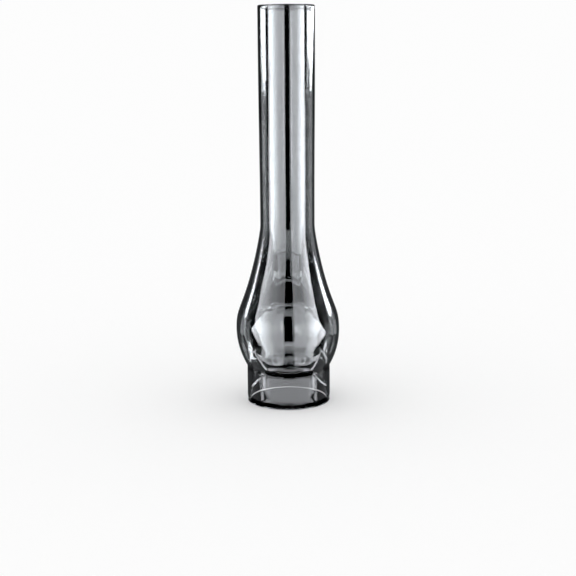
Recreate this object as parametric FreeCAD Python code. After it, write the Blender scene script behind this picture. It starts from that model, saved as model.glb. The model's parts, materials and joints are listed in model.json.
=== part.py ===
import FreeCAD, Part
import math
import os

# Clear glass chimney for an oil lamp, in millimetres. Its axis is +Z, and the origin is the centre
# of the foot, where the rim rests. It is one blown piece: a base, a waist, a bulb, a shoulder and
# a flue, with one wall from the foot to the mouth.

# Base, the straight collar that stands in a burner's gallery
base_outer_diameter = 67.0
base_height = 28.0
base_wall = 2.3
foot_rounding = 0.9
foot_wall_share = 0.4

# Waist, the crease between the base and the bulb
waist_height = 29.0
waist_pinch = 0.5
crease_rounding = 1.4
inner_waist_rounding = 4.0

# Bulb round the flame
bulb_outer_diameter = 83.1
bulb_height = 59.7
bulb_wall = 1.8

# Shoulder, which draws in from the bulb to the neck
bulb_side_run = 23.9
neck_side_run = 8.6
shoulder_pull_shares = (0.626, 0.131)

# Flue, from the neck to the mouth
neck_height = 144.3
neck_outer_diameter = 43.3
flue_wall = 1.9
flare_handle_share = 0.4

# Mouth, a straight end with a fire-polished lip that swells a little inwards
overall_height = 317.5
mouth_outer_diameter = 44.7
mouth_straight = 24.0
lip_wall = 2.3
lip_height = 3.5

full_turn = 360


def point(radius, height):
    return FreeCAD.Vector(radius, 0, height)


def line(start, end):
    return Part.LineSegment(start, end).toShape()


def arc(centre, radius, start_angle, end_angle):
    """The arc about centre between two angles, counted from outwards towards +Z."""
    middle_angle = (start_angle + end_angle) / 2
    ends_and_middle = [
        centre + point(radius * math.cos(angle), radius * math.sin(angle))
        for angle in (start_angle, middle_angle, end_angle)
    ]
    return Part.Arc(*ends_and_middle).toShape()


def bezier(*poles):
    curve = Part.BezierCurve()
    curve.setPoles(list(poles))
    return curve.toShape()


def waist_and_belly(base_top, waist, bulb, rounding):
    """The rounded crease above the base, then the arc up to the bulb's widest point, where it
    stands upright. The crease starts at one rounding below base_top."""
    across = bulb.x - waist.x
    rise = bulb.z - waist.z
    radius = (across**2 + rise**2) / (2 * across)
    centre = point(bulb.x - radius, bulb.z)
    angle = math.atan2(-rise, waist.x - centre.x) + rounding / radius
    belly = arc(centre, radius, angle, 0)
    belly_start = centre + point(radius * math.cos(angle), radius * math.sin(angle))
    below_belly = belly_start + point(rounding * math.sin(angle), -rounding * math.cos(angle))
    crease = bezier(base_top - point(0, rounding), base_top, below_belly, belly_start)
    return [crease, belly]


def shoulder(bulb, neck):
    """The S-shaped side from the bulb up to the neck. It stands upright at both ends."""
    pull_out_share, pull_up_share = shoulder_pull_shares
    pull = point(
        neck.x + (bulb.x - neck.x) * pull_out_share,
        bulb.z + (neck.z - bulb.z) * pull_up_share,
    )
    above_bulb = point(bulb.x, bulb.z + bulb_side_run)
    below_neck = point(neck.x, neck.z - neck_side_run)
    return bezier(bulb, above_bulb, pull, below_neck, neck)


def flue(neck, mouth):
    """The long side of the flue, which widens a little towards the mouth."""
    handle = (mouth.z - neck.z) * flare_handle_share
    return bezier(neck, point(neck.x, neck.z + handle), point(mouth.x, mouth.z - handle), mouth)


def side(base_radius, base_top_height, pinch, rounding, bulb_inset, flue_inset):
    """One side of the wall, from above the foot to the start of the straight mouth."""
    foot = point(base_radius, min(foot_rounding, base_wall * foot_wall_share))
    base_top = point(base_radius, base_top_height)
    waist = point(base_radius - pinch, waist_height)
    bulb = point(bulb_outer_diameter / 2 - bulb_inset, bulb_height)
    neck = point(neck_outer_diameter / 2 - flue_inset, neck_height)
    mouth = point(mouth_outer_diameter / 2 - flue_inset, overall_height - mouth_straight)
    base = line(foot, base_top - point(0, rounding))
    crease_and_belly = waist_and_belly(base_top, waist, bulb, rounding)
    return [base, *crease_and_belly, shoulder(bulb, neck), flue(neck, mouth)]


def outer_side():
    base_radius = base_outer_diameter / 2
    return side(base_radius, base_height, waist_pinch, crease_rounding, 0, 0)


def inner_side():
    base_radius = base_outer_diameter / 2 - base_wall
    return side(base_radius, waist_height, 0, inner_waist_rounding, bulb_wall, flue_wall)


def mouth_and_lip():
    """The straight mouth outside, the round lip and the way back down inside."""
    outer_radius = mouth_outer_diameter / 2
    inner_radius = outer_radius - flue_wall
    mouth_height = overall_height - mouth_straight
    lip_radius = lip_wall / 2
    lip_centre = point(outer_radius - lip_radius, overall_height - lip_radius)
    inner_lip = lip_centre - point(lip_radius, 0)
    below_lip = point(inner_radius, overall_height - lip_height)
    return [
        line(point(outer_radius, mouth_height), lip_centre + point(lip_radius, 0)),
        arc(lip_centre, lip_radius, 0, math.pi),
        line(inner_lip, below_lip),
        line(below_lip, point(inner_radius, mouth_height)),
    ]


def foot_rim():
    """The rounded rim of the base, with a flat land that rests."""
    outer_radius = base_outer_diameter / 2
    inner_radius = outer_radius - base_wall
    rounding = min(foot_rounding, base_wall * foot_wall_share)
    outer_centre = point(outer_radius - rounding, rounding)
    inner_centre = point(inner_radius + rounding, rounding)
    down = -math.pi / 2
    return [
        arc(inner_centre, rounding, -math.pi, down),
        line(inner_centre - point(0, rounding), outer_centre - point(0, rounding)),
        arc(outer_centre, rounding, down, 0),
    ]


def glass_chimney():
    """The whole wall, turned once round the axis."""
    outline = [*foot_rim(), *outer_side(), *mouth_and_lip(), *reversed(inner_side())]
    section = Part.Face(Part.Wire(outline))
    return section.revolve(point(0, 0), FreeCAD.Vector(0, 0, 1), full_turn)


os.makedirs("parts", exist_ok=True)
chimney = glass_chimney()
assert chimney.isValid() and chimney.Volume > 0
chimney.exportStep("parts/glass_chimney.step")
print(f"glass_chimney: {chimney.Volume:.0f} cubic mm in {len(chimney.Solids)} solid")
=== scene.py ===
import json
import math

import bpy
from mathutils import Matrix, Vector


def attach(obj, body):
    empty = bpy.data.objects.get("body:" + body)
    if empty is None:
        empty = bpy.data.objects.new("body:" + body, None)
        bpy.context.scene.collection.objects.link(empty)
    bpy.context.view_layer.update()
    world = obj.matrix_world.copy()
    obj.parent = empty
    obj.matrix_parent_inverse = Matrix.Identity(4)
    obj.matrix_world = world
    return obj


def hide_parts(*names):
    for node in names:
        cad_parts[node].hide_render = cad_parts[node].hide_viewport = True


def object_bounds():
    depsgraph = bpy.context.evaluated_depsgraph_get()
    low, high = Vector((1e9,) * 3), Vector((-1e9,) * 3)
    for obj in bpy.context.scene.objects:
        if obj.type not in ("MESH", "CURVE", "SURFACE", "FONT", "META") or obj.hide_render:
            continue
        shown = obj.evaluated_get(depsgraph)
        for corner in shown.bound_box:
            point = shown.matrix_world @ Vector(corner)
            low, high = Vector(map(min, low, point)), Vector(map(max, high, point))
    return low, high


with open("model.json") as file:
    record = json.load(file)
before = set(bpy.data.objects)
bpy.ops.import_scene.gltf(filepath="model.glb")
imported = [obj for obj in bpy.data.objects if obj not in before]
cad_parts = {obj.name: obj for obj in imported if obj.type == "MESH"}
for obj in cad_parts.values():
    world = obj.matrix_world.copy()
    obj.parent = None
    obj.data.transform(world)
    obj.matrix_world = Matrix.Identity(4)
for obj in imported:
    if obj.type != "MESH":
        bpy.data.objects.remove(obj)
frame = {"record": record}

# Clear glass chimney for an oil lamp, in metres, in a studio that follows the photograph
cad_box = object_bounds()
mounts = {mount["name"]: mount["dims"] for mount in frame["record"]["mounts"]}
MM = 0.001

# Sizes of the glass that the frame gives
height = cad_box[1].z
bulb_radius = cad_box[1].x
base_radius = mounts["fitter_outside"]["r_mm"] * MM
base_bore_radius = mounts["fitter_bore"]["r_mm"] * MM
mouth_radius = mounts["flue_outside"]["r_mm"] * MM

# Sizes of the glass that follow the CAD outline
foot_rounding = 0.9 * MM
base_top = 28.0 * MM
waist_height = 29.0 * MM
waist_pinch = 0.5 * MM
crease_rounding = 1.4 * MM
inner_waist_rounding = 4.0 * MM
bulb_height = 59.7 * MM
bulb_wall = 1.8 * MM
bulb_side_run = 23.9 * MM
neck_side_run = 8.6 * MM
shoulder_pull_shares = (0.626, 0.131)
neck_height = 144.3 * MM
neck_radius = 21.65 * MM
flue_wall = 1.9 * MM
flare_handle_share = 0.4
mouth_straight = 24.0 * MM
lip_wall = 2.3 * MM
lip_height = 3.5 * MM

# Hand-blown irregularity: how far the wall stands off the axis at some heights, in millimetres,
# and the faint lobes of its section
blown_heights = (30.0, 72.0, 160.0, 317.5)
blown_offsets = ((0.1, 0), (-0.36, 0.2), (0.14, 0), (0.39, 0))
lobe_count = 3
lobe_height = -0.14 * MM

# Surface of the glass. A noise has a size across, its detail, and how many times as long it is up
# the glass.
refractive_index = 1.5
wave_noise = (40.0 * MM, 1, 1.6)
wave_height = 0.06 * MM
ream_noise = (9.0 * MM, 2, 0.5)
ream_height = 0.018 * MM
haze_noise = (30.0 * MM, 4, 1)
haze_from = 0.55
most_haze = 0.03
tint_noise = (60.0 * MM, 2, 2)
thick_tint = (0.965, 0.98, 0.975, 1)
thin_tint = (0.99, 0.995, 0.995, 1)

# Mesh of the glass: steps round the axis and along each part of the outline
steps_round = 192
base_steps = 6
crease_steps = 16
belly_steps = 40
shoulder_steps = 80
flue_steps = 60
mouth_steps = 16
lip_steps = 16
inner_lip_steps = 4
inner_mouth_steps = 12
foot_steps = 8

# Camera, fitted to the photograph's outline of the chimney
picture_width = 576
focal_length = 1571.2
sensor_width = 36.0
camera_distance = 1.2382
camera_height = 0.3616
camera_pitch = math.radians(12.26)
camera_roll = math.radians(-0.47)
camera_reach = 100.0

# Bounces that a look through several walls of glass needs
most_bounces = 24
most_glossy_bounces = 12

# Floor and background
floor_span = 40.0
floor_colour = (0.98, 0.98, 0.98, 1)
floor_gap = 0.2 * MM
floor_glow_height = 0.1 * MM
world_colour = (1, 1, 1, 1)
world_strength = 1.0

# Studio round the glass. Azimuths are in degrees from the camera's side, and grow towards +X.
full_turn = 360
wall_distance = 1.2
dark_distance = 2.0
dark_height = 3.0
glow_colour = (0.955, 0.98, 1.03, 1)
back_glow = 0.02
back_glow_shares = (0.25, 0.75)
ground_glow = 0.035
ground_glow_shares = (0.24, 0.76)

# Columns and rows of the studio's sheets
panel_grid = (160, 80)
sector_grid = (120, 90)
floor_line_grid = (40, 2)
front_card_grid = (80, 1)
middle_card_grid = (12, 30)
band_grid = (60, 1)
surround_grid = (96, 1)

# What a straight look through the glass shows of the studio: the level at each azimuth, and the
# distance where it starts. A ray was mirrored when its glossy depth is over the limit.
seen_through = [(60, 0.22), (100, 0)]
seen_through_from = 0.036
glossy_depth_limit = 0.5

# Softboxes to the left and right of the camera, with a dark gap between them: the level at each
# azimuth and height, and the azimuth of each side at some heights
left_box = [(-84, 8.5), (-70, 7), (-64, 6), (-58, 5.2), (-49, 3.7), (-31, 2.8),
            (-22, 2.3), (-16, 2.1), (-10, 2.4)]
right_box = [(10, 3), (16, 3.1), (24, 3), (31, 2.8), (40, 2.8), (49, 4.6), (58, 6),
             (65, 7.5), (72, 10), (84, 11)]
left_edge = [(0, -84), (0.05, -83), (0.13, -80.5), (0.25, -77.5), (0.29, -77.5), (0.36, -83)]
left_gap = [(0, -9), (0.27, -9), (0.37, -10)]
right_gap = [(0, 13.5), (0.27, 13.5), (0.37, 13.5)]
right_edge = [(0, 83), (0.1, 82), (0.17, 78), (0.3, 77.5)]
left_heights = [(0, 1), (0.3, 0.98), (0.37, 0.78), (0.47, 0.66), (0.56, 0.7),
                (0.8, 0.6), (0.86, 0.36), (1.15, 0.3), (1.2, 0)]
right_heights = [(0, 1), (0.3, 0.95), (0.38, 0.76), (0.47, 0.7), (0.96, 0.7), (1.02, 0.34),
                 (1.2, 0.3), (1.25, 0)]

# Brighter strip before the right softbox, and a bar across the gap
accent = [(13.5, 5.2), (21, 5)]
accent_heights = [(0, 1), (0.26, 1), (0.3, 0.6)]
accent_distance = 1.19
bar_levels = [(-13, 3.4), (13, 3.4)]
bar_heights = [(0.79, 0), (0.81, 1), (0.86, 1), (0.88, 0)]

# Strip lamps beside the glass, near ones for the flue, and dimmer light behind and under them
left_strip = [(-122, 9), (-112, 9)]
right_strip = [(114, 10), (147, 10)]
strip_heights = [(0, 1), (0.3, 1), (0.33, 0)]
left_strip_bottoms = [(-122, 0.25), (-116, 0.15), (-112, 0.135)]
right_strip_bottoms = [(114, 0.15), (122, 0.135), (130, 0.17), (147, 0.27)]
near_strip_distance = 0.08
left_near_strip = [(-97, 9), (-84, 9)]
right_near_strip = [(87.5, 9), (97, 9)]
near_strip_heights = [(0.2, 1), (0.34, 1)]
left_near_bottoms = [(-97, 0.252), (-84, 0.256)]
right_near_bottoms = [(87.5, 0.276), (92, 0.268), (97, 0.258)]
left_dim = [(-128, 0), (-124, 0.65), (-108, 0.75), (-104, 0)]
right_dim = [(106, 0), (110, 0.8), (114, 1.1), (119, 0.35), (128, 0.7), (136, 0.1)]
dim_heights = [(0, 1), (0.27, 1)]
dim_distance = 1.21
dim_table_distances = [(0.25, 1), (wall_distance, 1)]

# Table before the glass: where it starts at each azimuth, the azimuth of each side at some
# distances, and the levels near the glass
table_start = [(0, 0.140), (50, 0.140), (55, 0.150), (64, 0.150), (70, 0.190),
               (75, 0.25), (80, 0.32), (88, 0.6)]
left_table_edge = [(0.1, -80), (0.3, -83), (0.6, -86), (0.84, -85), (1.2, -84)]
left_table_gap = [(0.1, -8.5), (0.4, -9), (0.84, -9), (1.2, -9)]
right_table_gap = [(0.1, 10.5), (0.4, 13.5), (0.84, 13), (1.2, 13.5)]
right_table_edge = [(0.1, 80), (0.3, 90), (0.6, 88), (0.84, 82), (1.2, 83)]
near_left = [(-85, 8), (-70, 6), (-64, 4.4), (-55, 3.6), (-40, 2.8), (-22, 2.3), (-10, 2.2)]
near_right = [(10, 3.2), (20, 2.6), (31, 2.3), (40, 2.6), (55, 3.2), (64, 4), (71, 6), (85, 8)]

# Shelf before the bulb, above the table, and a nearer one: levels by azimuth and by distance
shelf_height = 0.022
shelf_distances = [(0.0515, 0.7), (0.07, 0.8), (0.085, 0.9), (0.105, 0.9)]
shelf_left = [(-52, 4.2), (-46, 3.2), (-38, 2.6), (-30, 2.4), (-23, 2.3), (-9, 2.1)]
shelf_right = [(10, 2.3), (20, 2), (30, 1.7), (38, 2.6), (48, 3)]
near_shelf_height = 0.0224
near_shelf_left = [(-50, 3.6), (-40, 2.6)]
near_shelf_right = [(38, 2.6), (44, 4.2), (53, 4.5)]
near_shelf_distances = [(0.052, 1), (0.063, 1)]

# Table in the dark gap between the softboxes, by distance
gap_levels = [(0.108, 0), (0.116, 1.1), (0.15, 2), (0.234, 2.3), (0.24, 0)]
gap_half_angle = 12

# Bright line that stands before the glass, by azimuth and by distance
line_levels = [(-50, 5), (-40, 4.5), (-33, 2.4), (-9, 1.9), (-6, 0.9), (6, 0.9), (9, 1.9),
               (33, 2.2), (43, 4), (50, 4)]
line_distances = [(0.0472, 0.4), (0.0478, 1), (0.0498, 1), (0.0506, 0.4), (0.054, 0.35)]

# Low cards before the base: how far out, how high and how bright they are, by distance from the
# middle
card_half_width = 0.076
card_places = [(0, 0.060), (0.0125, 0.060), (0.030, 0.052), (0.045, 0.044),
               (0.060, 0.040), (0.076, 0.036)]
card_tops = [(0, 0.0184), (0.030, 0.0184), (0.042, 0.0172), (0.048, 0.0150),
             (0.060, 0.0140), (0.076, 0.0118)]
card_levels = [(0, 2.65), (0.040, 2.7), (0.044, 3.6), (0.048, 3.6),
               (0.051, 2.6), (0.057, 2.8), (0.061, 6), (0.076, 7)]
middle_card_half_width = 0.0125
middle_card_rise = 0.0242
middle_card_levels = [(0, 2.65), (1, 2.65)]
middle_card_top_lift = 0.05 * MM
middle_card_top_levels = [(0, 0), (0.7, 0), (0.72, 1.7), (0.93, 1.7), (0.95, 0)]
low_card_distance = 0.052
low_card_height = 0.0026
low_card_half_angle = 46

# Dark band close to the crease
crease_shade_radius = 0.0343
crease_shade_heights = (0.0256, 0.0303)
crease_shade_half_angle = 37

# Opening in the dark ground, where the pale floor shows behind the foot
opening_radii = (0.034, 0.038)

# Bright lines on the floor beside and behind the foot: x and y in millimetres, and the level
left_lines = [(-112, -38, 5), (-106, -22, 5), (-97, -4, 5), (-83, 11, 5), (-70, 17, 1.5)]
left_spur = [(-108, -24, 4), (-67, -30, 5), (-40, -28, 5)]
left_patch = [(-116, 3, 0), (-116, 6, 2.7), (-114, 14, 2.7)]
right_lines = [(121, -50, 5), (112, -32, 5), (102, -13, 5), (86, 8, 4.5), (66, 23, 0.6)]
right_spur = [(114, -34, 4), (67, -30, 5), (40, -28, 4)]
right_patch = [(118, 3, 4.6), (107, 3, 4.6)]
line_half_width = 2.4 * MM

# Dim light on the floor beside the foot, under those lines
dim_floor_level = 0.2
dim_floor_height = 0.05 * MM
dim_floor_distances = [(0.045, 1), (0.135, 1)]
dim_floor_azimuths = (50, 100)


def between(stops, place):
    """The level at a place on the line through the stops, and the end levels beyond them."""
    if place <= stops[0][0]:
        return stops[0][1]
    for (low, low_level), (high, high_level) in zip(stops, stops[1:]):
        if place <= high:
            return low_level + (high_level - low_level) * (place - low) / (high - low)
    return stops[-1][1]


def line(start, end, steps):
    shares = [step / steps for step in range(steps + 1)]
    return [start.lerp(end, share) for share in shares]


def arc(centre, radius, start, end, steps):
    angles = [start + (end - start) * step / steps for step in range(steps + 1)]
    return [centre + radius * Vector((math.cos(angle), math.sin(angle))) for angle in angles]


def bezier(poles, steps):
    """Points along a Bezier curve, each by lerping the poles down to one."""
    points = []
    for step in range(steps + 1):
        rest = poles
        while len(rest) > 1:
            rest = [low.lerp(high, step / steps) for low, high in zip(rest, rest[1:])]
        points.append(rest[0])
    return points


def waist_and_belly(top, waist, bulb, rounding):
    """The rounded crease above the base, then the arc up to the bulb's widest point."""
    across = bulb.x - waist.x
    rise = bulb.y - waist.y
    radius = (across**2 + rise**2) / (2 * across)
    centre = Vector((bulb.x - radius, bulb.y))
    angle = math.atan2(-rise, waist.x - centre.x) + rounding / radius
    belly = arc(centre, radius, angle, 0, belly_steps)
    below = belly[0] + rounding * Vector((math.sin(angle), -math.cos(angle)))
    crease = bezier([top - Vector((0, rounding)), top, below, belly[0]], crease_steps)
    return crease[1:] + belly[1:]


def side(radius, top_height, pinch, rounding, bulb_inset, flue_inset):
    """One side of the wall, from above the foot to the start of the straight mouth."""
    top = Vector((radius, top_height))
    waist = Vector((radius - pinch, waist_height))
    bulb = Vector((bulb_radius - bulb_inset, bulb_height))
    neck = Vector((neck_radius - flue_inset, neck_height))
    mouth = Vector((mouth_radius - flue_inset, height - mouth_straight))
    pull = Vector((neck.x + (bulb.x - neck.x) * shoulder_pull_shares[0],
                   bulb.y + (neck.y - bulb.y) * shoulder_pull_shares[1]))
    above_bulb = bulb + Vector((0, bulb_side_run))
    below_neck = neck - Vector((0, neck_side_run))
    handle = Vector((0, (mouth.y - neck.y) * flare_handle_share))
    base = line(Vector((radius, foot_rounding)), top - Vector((0, rounding)), base_steps)
    shoulder = bezier([bulb, above_bulb, pull, below_neck, neck], shoulder_steps)
    flue = bezier([neck, neck + handle, mouth - handle, mouth], flue_steps)
    return base + waist_and_belly(top, waist, bulb, rounding) + shoulder[1:] + flue[1:]


def mouth_and_lip():
    """The straight mouth outside, the round lip and the way back down inside."""
    bore = mouth_radius - flue_wall
    lip_radius = lip_wall / 2
    lip = Vector((mouth_radius - lip_radius, height - lip_radius))
    mouth = Vector((mouth_radius, height - mouth_straight))
    below_lip = Vector((bore, height - lip_height))
    straight_end = Vector((bore, height - mouth_straight))
    outside = line(mouth, lip + Vector((lip_radius, 0)), mouth_steps)
    rounded = arc(lip, lip_radius, 0, math.pi, lip_steps)
    inside = line(lip - Vector((lip_radius, 0)), below_lip, inner_lip_steps)
    straight = line(below_lip, straight_end, inner_mouth_steps)
    return outside[1:] + rounded[1:] + inside[1:] + straight[1:-1]


def foot_rim():
    """The rounded rim of the base, with a flat land between its two arcs."""
    inner = Vector((base_bore_radius + foot_rounding, foot_rounding))
    outer = Vector((base_radius - foot_rounding, foot_rounding))
    down = -math.pi / 2
    inner_arc = arc(inner, foot_rounding, -math.pi, down, foot_steps)
    outer_arc = arc(outer, foot_rounding, down, 0, foot_steps)
    return inner_arc[1:] + outer_arc[:-1]


def wall_outline():
    outer = side(base_radius, base_top, waist_pinch, crease_rounding, 0, 0)
    inner = side(base_bore_radius, waist_height, 0, inner_waist_rounding, bulb_wall, flue_wall)
    return outer + mouth_and_lip() + inner[::-1] + foot_rim()


def add_object(name, points, faces):
    mesh = bpy.data.meshes.new(name)
    mesh.from_pydata(points, [], faces)
    made = bpy.data.objects.new(name, mesh)
    bpy.context.scene.collection.objects.link(made)
    return made


def off_axis(z):
    """How far the wall stands off the axis at a height, eased from one offset to the next."""
    place = between([(blown * MM, k) for k, blown in enumerate(blown_heights)], z)
    k = min(int(place), len(blown_offsets) - 2)
    share = place - k
    eased = share * share * (3 - 2 * share)
    return Vector(blown_offsets[k]).lerp(Vector(blown_offsets[k + 1]), eased) * MM


def turned(spot, turn):
    """A point of the outline turned round the axis. The section has faint lobes."""
    offset = off_axis(spot.y)
    radius = spot.x + lobe_height * math.cos(lobe_count * turn)
    return (radius * math.cos(turn) + offset.x, radius * math.sin(turn) + offset.y, spot.y)


def lathe(name, outline):
    """The closed outline turned round the axis, with smooth faces."""
    count = len(outline)
    points = []
    faces = []
    for step in range(steps_round):
        turn = math.tau * step / steps_round
        start = step * count
        after = (step + 1) % steps_round * count
        points += [turned(spot, turn) for spot in outline]
        for k in range(count):
            n = (k + 1) % count
            faces.append((start + k, after + k, after + n, start + n))
    made = add_object(name, points, faces)
    made.data.shade_smooth()
    return made


def noise(tree, place, size, detail, stretch):
    """Noise whose features are size across, and stretch times as long up the glass."""
    nodes, links = tree.nodes, tree.links
    scaled = nodes.new("ShaderNodeMapping")
    scaled.inputs["Scale"].default_value = (1 / size, 1 / size, 1 / (size * stretch))
    texture = nodes.new("ShaderNodeTexNoise")
    texture.inputs["Scale"].default_value = 1.0
    texture.inputs["Detail"].default_value = detail
    links.new(place.outputs["Object"], scaled.inputs["Vector"])
    links.new(scaled.outputs["Vector"], texture.inputs["Vector"])
    return texture.outputs["Fac"]


def glass_material():
    """Clear blown glass: slow waves, finer ream, a trace of haze and a faint uneven tint."""
    material = bpy.data.materials.new("clear_glass")
    material.use_nodes = True
    tree = material.node_tree
    nodes, links = tree.nodes, tree.links
    shader = nodes["Principled BSDF"]
    shader.inputs["IOR"].default_value = refractive_index
    shader.inputs["Transmission Weight"].default_value = 1.0
    place = nodes.new("ShaderNodeTexCoord")

    tint = nodes.new("ShaderNodeValToRGB")
    tint.color_ramp.elements[0].color = thick_tint
    tint.color_ramp.elements[1].color = thin_tint
    links.new(noise(tree, place, *tint_noise), tint.inputs["Fac"])
    links.new(tint.outputs["Color"], shader.inputs["Base Color"])

    haze = nodes.new("ShaderNodeMapRange")
    haze.inputs["From Min"].default_value = haze_from
    haze.inputs["To Max"].default_value = most_haze
    links.new(noise(tree, place, *haze_noise), haze.inputs["Value"])
    links.new(haze.outputs["Result"], shader.inputs["Roughness"])

    slow = nodes.new("ShaderNodeBump")
    slow.inputs["Distance"].default_value = wave_height
    links.new(noise(tree, place, *wave_noise), slow.inputs["Height"])
    fine = nodes.new("ShaderNodeBump")
    fine.inputs["Distance"].default_value = ream_height
    links.new(noise(tree, place, *ream_noise), fine.inputs["Height"])
    links.new(slow.outputs["Normal"], fine.inputs["Normal"])
    links.new(fine.outputs["Normal"], shader.inputs["Normal"])
    return material


def glow_material():
    """Light that a reflection shows at the mesh's level, and that a look through the glass shows
    at the mesh's other level."""
    material = bpy.data.materials.new("studio_glow")
    material.use_nodes = True
    nodes = material.node_tree.nodes
    links = material.node_tree.links
    nodes.remove(nodes["Principled BSDF"])
    emission = nodes.new("ShaderNodeEmission")
    emission.inputs["Color"].default_value = glow_colour
    level = nodes.new("ShaderNodeAttribute")
    level.attribute_name = "level"
    path = nodes.new("ShaderNodeLightPath")
    mirrored = nodes.new("ShaderNodeMath")
    mirrored.operation = "GREATER_THAN"
    mirrored.inputs[1].default_value = glossy_depth_limit
    through = nodes.new("ShaderNodeAttribute")
    through.attribute_name = "through"
    strength = nodes.new("ShaderNodeMapRange")
    links.new(path.outputs["Glossy Depth"], mirrored.inputs[0])
    links.new(mirrored.outputs["Value"], strength.inputs["Value"])
    links.new(through.outputs["Fac"], strength.inputs["To Min"])
    links.new(level.outputs["Fac"], strength.inputs["To Max"])
    links.new(strength.outputs["Result"], emission.inputs["Strength"])
    links.new(emission.outputs["Emission"], nodes["Material Output"].inputs["Surface"])
    return material


def for_glass_only(made):
    """The camera, the floor and the shadows don't see a card, and the glass does."""
    made.visible_camera = False
    made.visible_diffuse = False
    made.visible_shadow = False


def through_level(point):
    """How bright a card is through the glass, from behind it. The camera's side gives the light."""
    if math.hypot(point[0], point[1]) < seen_through_from:
        return 0
    return between(seen_through, abs(math.degrees(math.atan2(point[0], -point[1]))))


def sheet(name, grid, place, level, material):
    """A grid of columns by rows. place and level take shares along and up, and give a point and
    how bright the sheet is there."""
    columns, rows = grid
    shares = [(column / columns, row / rows)
              for column in range(columns + 1) for row in range(rows + 1)]
    faces = []
    for column in range(columns):
        for row in range(rows):
            corner = column * (rows + 1) + row
            faces.append((corner, corner + rows + 1, corner + rows + 2, corner + 1))
    points = [place(along, up) for along, up in shares]
    made = add_object(name, points, faces)
    levels = made.data.attributes.new("level", "FLOAT", "POINT")
    levels.data.foreach_set("value", [level(along, up) for along, up in shares])
    through = made.data.attributes.new("through", "FLOAT", "POINT")
    through.data.foreach_set("value", [through_level(point) for point in points])
    made.data.materials.append(material)
    for_glass_only(made)
    return made


def round_the_axis(distance, azimuth, z):
    angle = math.radians(azimuth)
    return (distance * math.sin(angle), -distance * math.cos(angle), z)


def curved_panel(name, azimuth_levels, height_levels, material, sides=None, bottoms=((0, 0),),
                 distance=wall_distance):
    """A panel on a drum round the glass. Its two sides may lean, and its bottom edge may slope."""
    low, high = azimuth_levels[0][0], azimuth_levels[-1][0]
    low_side, high_side = sides or ([(0, low)], [(0, high)])
    top = height_levels[-1][0]

    def spot(along, up):
        bottom = between(bottoms, low + (high - low) * along)
        z = bottom + (top - bottom) * up
        left, right = between(low_side, z), between(high_side, z)
        return left + (right - left) * along, z

    def place(along, up):
        return round_the_axis(distance, *spot(along, up))

    def level(along, up):
        azimuth, z = spot(along, up)
        return between(azimuth_levels, azimuth) * between(height_levels, z)

    return sheet(name, panel_grid, place, level, material)


def floor_sector(name, low_side, high_side, near, far, level_at, material, z=floor_glow_height):
    """A part of the table round the axis. Its sides give the azimuth at each distance."""

    def spot(along, up):
        """The azimuth and distance there. The rows are closer together near the glass."""
        low, high = low_side[-1][1], high_side[-1][1]
        azimuth = low + (high - low) * along
        start = near(azimuth)
        distance = start + (far(azimuth) - start) * up**2
        low, high = between(low_side, distance), between(high_side, distance)
        return low + (high - low) * along, distance

    def place(along, up):
        azimuth, distance = spot(along, up)
        return round_the_axis(distance, azimuth, z)

    def level(along, up):
        return level_at(*spot(along, up))

    return sheet(name, sector_grid, place, level, material)


def table_side(name, low_side, high_side, near_levels, far_levels, material):
    """The table left or right of the middle. Far out it is as bright as the softbox above it."""

    def near(azimuth):
        return between(table_start, abs(azimuth))

    def far(azimuth):
        return max(wall_distance, near(azimuth))

    def level_at(azimuth, distance):
        share = min(1, distance / wall_distance)
        return between(near_levels, azimuth) * (1 - share) + between(far_levels, azimuth) * share

    floor_sector(name, low_side, high_side, near, far, level_at, material)


def ring_part(name, azimuth_levels, distance_levels, material, z=floor_glow_height):
    """A part of a flat ring, as bright as the two lists say together."""
    low_side, high_side = [(0, azimuth_levels[0][0])], [(0, azimuth_levels[-1][0])]

    def near(azimuth):
        return distance_levels[0][0]

    def far(azimuth):
        return distance_levels[-1][0]

    def level_at(azimuth, distance):
        return between(azimuth_levels, azimuth) * between(distance_levels, distance)

    floor_sector(name, low_side, high_side, near, far, level_at, material, z)


def floor_line(name, points, material):
    """A bright line on the floor through points of x, y and level."""
    steps = len(points) - 1

    def along_points(along, k):
        return between([(step / steps, point[k]) for step, point in enumerate(points)], along)

    def place(along, up):
        x, y = along_points(along, 0) * MM, along_points(along, 1) * MM
        step = min(int(along * steps), steps - 1)
        run = Vector(points[step + 1][:2]) - Vector(points[step][:2])
        across = Vector((-run.y, run.x)).normalized() * line_half_width * (2 * up - 1)
        return (x + across.x, y + across.y, floor_glow_height)

    def level(along, up):
        return along_points(along, 2)

    sheet(name, floor_line_grid, place, level, material)


def front_card(name, low_share, high_share, material):
    """A low card that the base reflects, left or right of the middle."""

    def place(along, up):
        x = card_half_width * (low_share + (high_share - low_share) * along)
        return (x, -between(card_places, abs(x)), between(card_tops, abs(x)) * up)

    def level(along, up):
        return between(card_levels, abs(place(along, up)[0]))

    sheet(name, front_card_grid, place, level, material)


def middle_card(name, lift, level_up, material):
    """The middle of the front card, which leans back to the base. The base sees it from below,
    and the bulb sees its lifted copy from above."""

    def place(along, up):
        x = middle_card_half_width * (2 * along - 1)
        return (x, middle_card_rise * up - card_places[0][1], middle_card_rise * up + lift)

    def level(along, up):
        return between(level_up, up)

    sheet(name, middle_card_grid, place, level, material)


def low_card(material):
    """The lowest card, close to the foot."""

    def place(along, up):
        azimuth = low_card_half_angle * (2 * along - 1)
        return round_the_axis(low_card_distance, azimuth, low_card_height * up)

    def level(along, up):
        return card_levels[0][1]

    sheet("low_card", band_grid, place, level, material)


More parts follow.
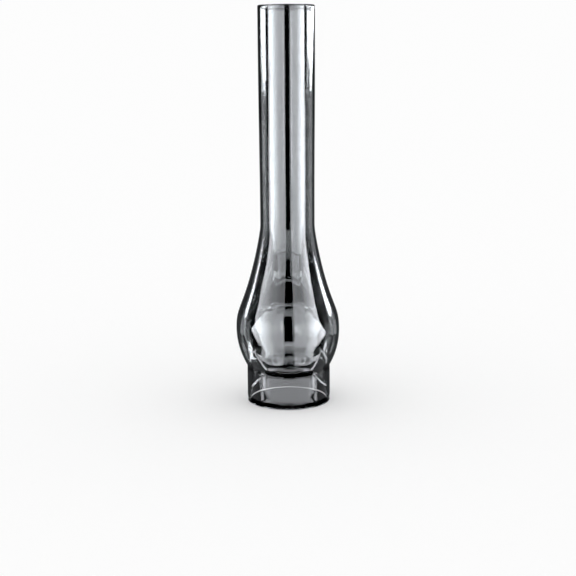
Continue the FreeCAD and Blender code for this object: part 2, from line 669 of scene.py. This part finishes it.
def crease_shade(material):
    """A dark band close to the crease, which keeps the table out of it."""

    def place(along, up):
        low, high = crease_shade_heights
        azimuth = crease_shade_half_angle * (2 * along - 1)
        return round_the_axis(crease_shade_radius, azimuth, low + (high - low) * up)

    def none(along, up):
        return 0

    sheet("crease_shade", band_grid, place, none, material)


def dark_surround(material):
    """The dark drum round the studio, with its ceiling and its ground."""
    inner_radius, outer_radius = opening_radii

    def wall(along, up):
        return round_the_axis(dark_distance, full_turn * along, -floor_gap + dark_height * up)

    def ceiling(along, up):
        return round_the_axis(dark_distance * up, full_turn * along, dark_height - 2 * floor_gap)

    def inner_ground(along, up):
        return round_the_axis(inner_radius * up, full_turn * along, 0)

    def outer_ground(along, up):
        distance = outer_radius + (dark_distance - outer_radius) * up
        return round_the_axis(distance, full_turn * along, 0)

    def front_ground(along, up):
        distance = inner_radius + (outer_radius - inner_radius) * up
        return round_the_axis(distance, full_turn / 2 * along - full_turn / 4, 0)

    def none(along, up):
        return 0

    def behind(along, up):
        low, high = back_glow_shares
        return back_glow if low < along < high else 0

    def ground_level(along, up):
        low, high = ground_glow_shares
        return ground_glow if low < along < high else 0

    sheet("dark_wall", surround_grid, wall, behind, material)
    sheet("dark_ceiling", surround_grid, ceiling, none, material)
    sheet("dark_ground_inside", surround_grid, inner_ground, none, material)
    sheet("dark_ground", surround_grid, outer_ground, ground_level, material)
    sheet("dark_ground_front", surround_grid, front_ground, none, material)


def add_floor():
    half = floor_span / 2
    corners = [(-half, -half), (half, -half), (half, half), (-half, half)]
    made = add_object("floor", [(x, y, -floor_gap) for x, y in corners], [(0, 1, 2, 3)])
    material = bpy.data.materials.new("floor")
    material.use_nodes = True
    shader = material.node_tree.nodes["Principled BSDF"]
    shader.inputs["Base Color"].default_value = floor_colour
    shader.inputs["Roughness"].default_value = 1.0
    shader.inputs["Specular IOR Level"].default_value = 0.0
    made.data.materials.append(material)


def add_world():
    world = bpy.data.worlds.new("studio")
    world.use_nodes = True
    background = world.node_tree.nodes["Background"]
    background.inputs["Color"].default_value = world_colour
    background.inputs["Strength"].default_value = world_strength
    bpy.context.scene.world = world


def add_camera():
    data = bpy.data.cameras.new("camera")
    data.sensor_width = sensor_width
    data.lens = sensor_width * focal_length / picture_width
    data.clip_end = camera_reach
    camera = bpy.data.objects.new("camera", data)
    bpy.context.scene.collection.objects.link(camera)
    camera.location = (0, -camera_distance, camera_height)
    tilt = Matrix.Rotation(math.pi / 2 - camera_pitch, 3, "X")
    camera.rotation_euler = (tilt @ Matrix.Rotation(camera_roll, 3, "Z")).to_euler()
    bpy.context.scene.camera = camera


def add_glass():
    glass = lathe("chimney_glass", wall_outline())
    glass.data.materials.append(glass_material())
    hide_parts("glass_chimney")
    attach(glass, "root")


def add_studio():
    glow = glow_material()
    dark_surround(glow)
    curved_panel("softbox_left", left_box, left_heights, glow, (left_edge, left_gap))
    curved_panel("softbox_right", right_box, right_heights, glow, (right_gap, right_edge))
    curved_panel("accent_right", accent, accent_heights, glow, distance=accent_distance)
    curved_panel("cross_bar", bar_levels, bar_heights, glow, bottoms=[(0, bar_heights[0][0])])
    curved_panel("strip_left", left_strip, strip_heights, glow, bottoms=left_strip_bottoms)
    curved_panel("strip_right", right_strip, strip_heights, glow, bottoms=right_strip_bottoms)
    curved_panel("near_strip_left", left_near_strip, near_strip_heights, glow,
                 bottoms=left_near_bottoms, distance=near_strip_distance)
    curved_panel("near_strip_right", right_near_strip, near_strip_heights, glow,
                 bottoms=right_near_bottoms, distance=near_strip_distance)
    curved_panel("dim_left", left_dim, dim_heights, glow, distance=dim_distance)
    curved_panel("dim_right", right_dim, dim_heights, glow, distance=dim_distance)
    ring_part("dim_table_left", left_dim, dim_table_distances, glow)
    ring_part("dim_table_right", right_dim, dim_table_distances, glow)
    table_side("table_left", left_table_edge, left_table_gap, near_left, left_box, glow)
    table_side("table_right", right_table_gap, right_table_edge, near_right, right_box, glow)
    ring_part("shelf_left", shelf_left, shelf_distances, glow, shelf_height)
    ring_part("shelf_right", shelf_right, shelf_distances, glow, shelf_height)
    ring_part("near_shelf_left", near_shelf_left, near_shelf_distances, glow, near_shelf_height)
    ring_part("near_shelf_right", near_shelf_right, near_shelf_distances, glow, near_shelf_height)
    ring_part("table_middle", [(-gap_half_angle, 1), (gap_half_angle, 1)], gap_levels, glow)
    ring_part("table_line", line_levels, line_distances, glow)
    floor_line("floor_line_left", left_lines, glow)
    floor_line("floor_spur_left", left_spur, glow)
    floor_line("floor_patch_left", left_patch, glow)
    floor_line("floor_line_right", right_lines, glow)
    floor_line("floor_spur_right", right_spur, glow)
    floor_line("floor_patch_right", right_patch, glow)
    near, far = dim_floor_azimuths
    left_dim_floor = [(-far, dim_floor_level), (-near, dim_floor_level)]
    right_dim_floor = [(near, dim_floor_level), (far, dim_floor_level)]
    ring_part("dim_floor_left", left_dim_floor, dim_floor_distances, glow, dim_floor_height)
    ring_part("dim_floor_right", right_dim_floor, dim_floor_distances, glow, dim_floor_height)
    middle_share = middle_card_half_width / card_half_width
    front_card("front_card_left", -1, -middle_share, glow)
    front_card("front_card_right", middle_share, 1, glow)
    middle_card("middle_card", 0, middle_card_levels, glow)
    middle_card("middle_card_top", middle_card_top_lift, middle_card_top_levels, glow)
    low_card(glow)
    crease_shade(glow)


add_camera()
add_world()
add_floor()
add_glass()
add_studio()

scene = bpy.context.scene
scene.view_settings.view_transform = "Standard"
scene.cycles.max_bounces = most_bounces
scene.cycles.transmission_bounces = most_bounces
scene.cycles.glossy_bounces = most_glossy_bounces
